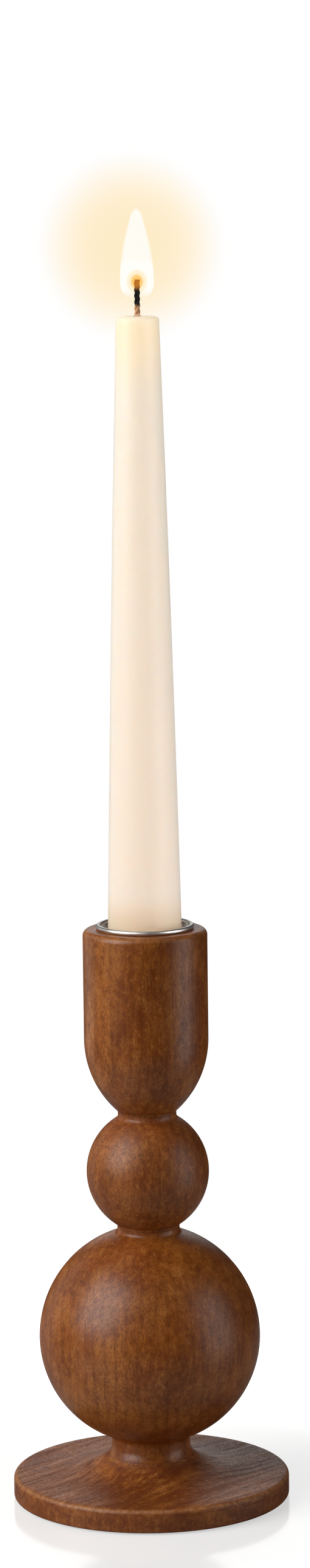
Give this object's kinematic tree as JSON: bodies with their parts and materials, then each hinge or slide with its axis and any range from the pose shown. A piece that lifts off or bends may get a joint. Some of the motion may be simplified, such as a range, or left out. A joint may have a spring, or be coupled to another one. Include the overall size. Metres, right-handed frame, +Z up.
{
  "type": "candle stand",
  "caption": "Turned wooden candle stand with a drop-in metal socket on a spike, a taper candle and its wick.",
  "frame": {"origin": "centre of the felt pad's underside, on the table", "axes": "+Z up along the axis the pieces are turned about; +X to the right in the picture's view, which looks along +Y"},
  "size_m": [0.0844, 0.0844, 0.3705],
  "materials": {
    "walnut_foot": "satin stained walnut, flat sawn",
    "walnut_stem": "satin stained walnut, upright grain",
    "dowel_beech": "plain beech",
    "zinc_steel": "zinc plated",
    "liner_steel": "bright drawn steel",
    "wax": "ivory wax, soft sheen",
    "wick": "charred braided cotton",
    "felt": "pressed felt"
  },
  "bodies": {
    "stand": {"felt_pad": "felt", "foot_disc": "walnut_foot", "main_ball": "walnut_stem", "middle_bead": "walnut_stem", "cup_body": "walnut_stem", "lower_dowel": "dowel_beech", "upper_dowel": "dowel_beech", "foot_screw": "zinc_steel", "screw_washer": "zinc_steel"},
    "insert": {"socket_liner": "liner_steel", "pricket_spike": "liner_steel"},
    "candle": {"candle_wax": "wax", "candle_wick": "wick"}
  },
  "joints": [
    {"name": "insert_lift", "type": "slide", "parent": "stand", "child": "insert", "axis": [0, 0, 1], "range_m": [0, 0.022]},
    {"name": "candle_lift", "type": "slide", "parent": "insert", "child": "candle", "axis": [0, 0, 1], "range_m": [0, 0.022]}
  ]
}
